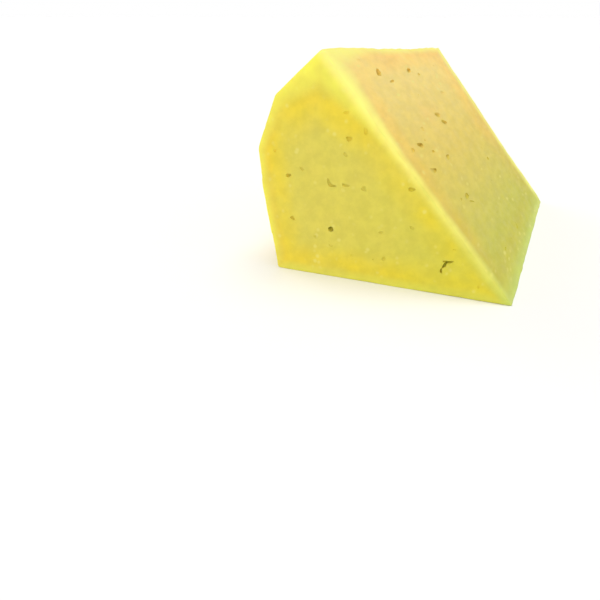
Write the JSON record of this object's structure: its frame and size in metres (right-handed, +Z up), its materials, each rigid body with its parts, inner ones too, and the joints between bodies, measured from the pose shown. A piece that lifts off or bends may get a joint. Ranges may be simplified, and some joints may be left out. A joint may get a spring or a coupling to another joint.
{
  "type": "sheep milk cheese wedge",
  "caption": "Wedge of firm aged sheep milk cheese, rind pared off, with small irregular eyes and splits in its pale yellow paste.",
  "frame": {"origin": "centre of the bounding box's bottom, on the flat radial face that the wedge lies on", "axes": "+Y along the wheel's axis from the front cut to the far end, +Z up, -X towards the rim and +X towards the tip edge"},
  "size_m": [0.0714, 0.1036, 0.0594],
  "materials": {
    "cheese_paste": "firm pale yellow cheese paste, slightly waxy, with small open eyes"
  },
  "bodies": {
    "root": {"cheese_wedge": "cheese_paste"}
  },
  "joints": []
}
